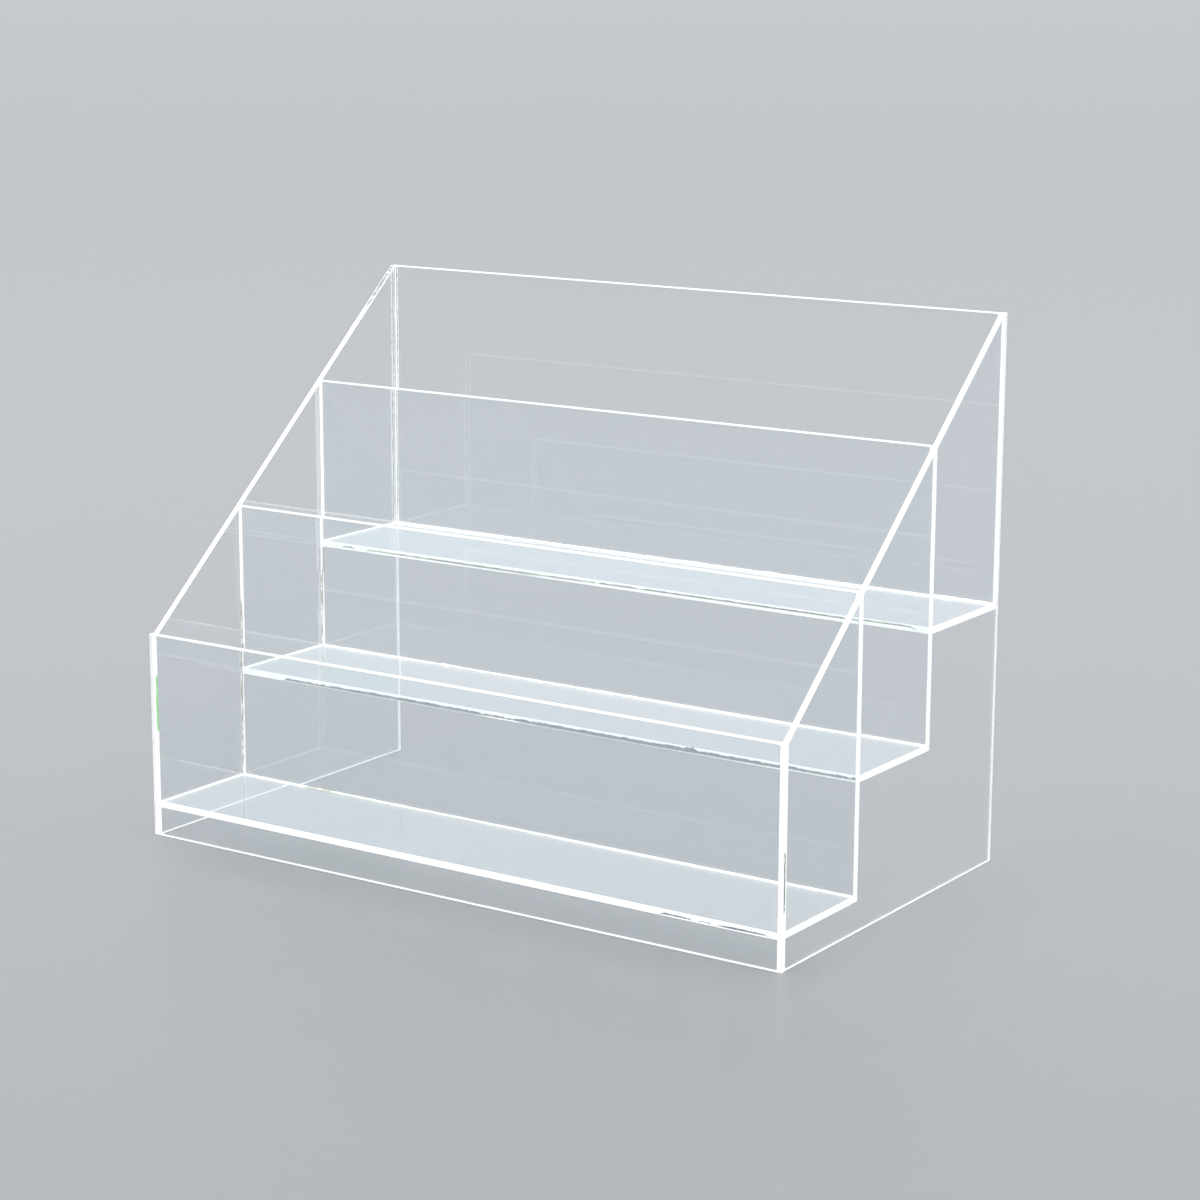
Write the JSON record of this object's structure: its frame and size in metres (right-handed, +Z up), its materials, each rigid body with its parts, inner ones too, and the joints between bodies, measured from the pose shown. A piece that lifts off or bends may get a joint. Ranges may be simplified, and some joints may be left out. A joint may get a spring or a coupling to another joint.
{
  "type": "tiered display stand",
  "caption": "Clear tiered display stand of bonded flat sheet: open troughs step up and back between five-sided side panels with sloping tops, behind a low front panel.",
  "frame": {"origin": "middle of the footprint, on the surface that the stand rests on", "axes": "+Z up, -Y towards the low front, +X to the right seen from the front"},
  "size_m": [0.305, 0.1666, 0.2244],
  "materials": {
    "clear_acrylic": "clear cast sheet, polished faces, cut edges that look bright"
  },
  "bodies": {
    "root": {"front_panel": "clear_acrylic", "left_side_panel": "clear_acrylic", "right_side_panel": "clear_acrylic", "lower_shelf": "clear_acrylic", "middle_shelf": "clear_acrylic", "upper_shelf": "clear_acrylic", "lower_riser": "clear_acrylic", "upper_riser": "clear_acrylic", "back_panel": "clear_acrylic"}
  },
  "joints": []
}
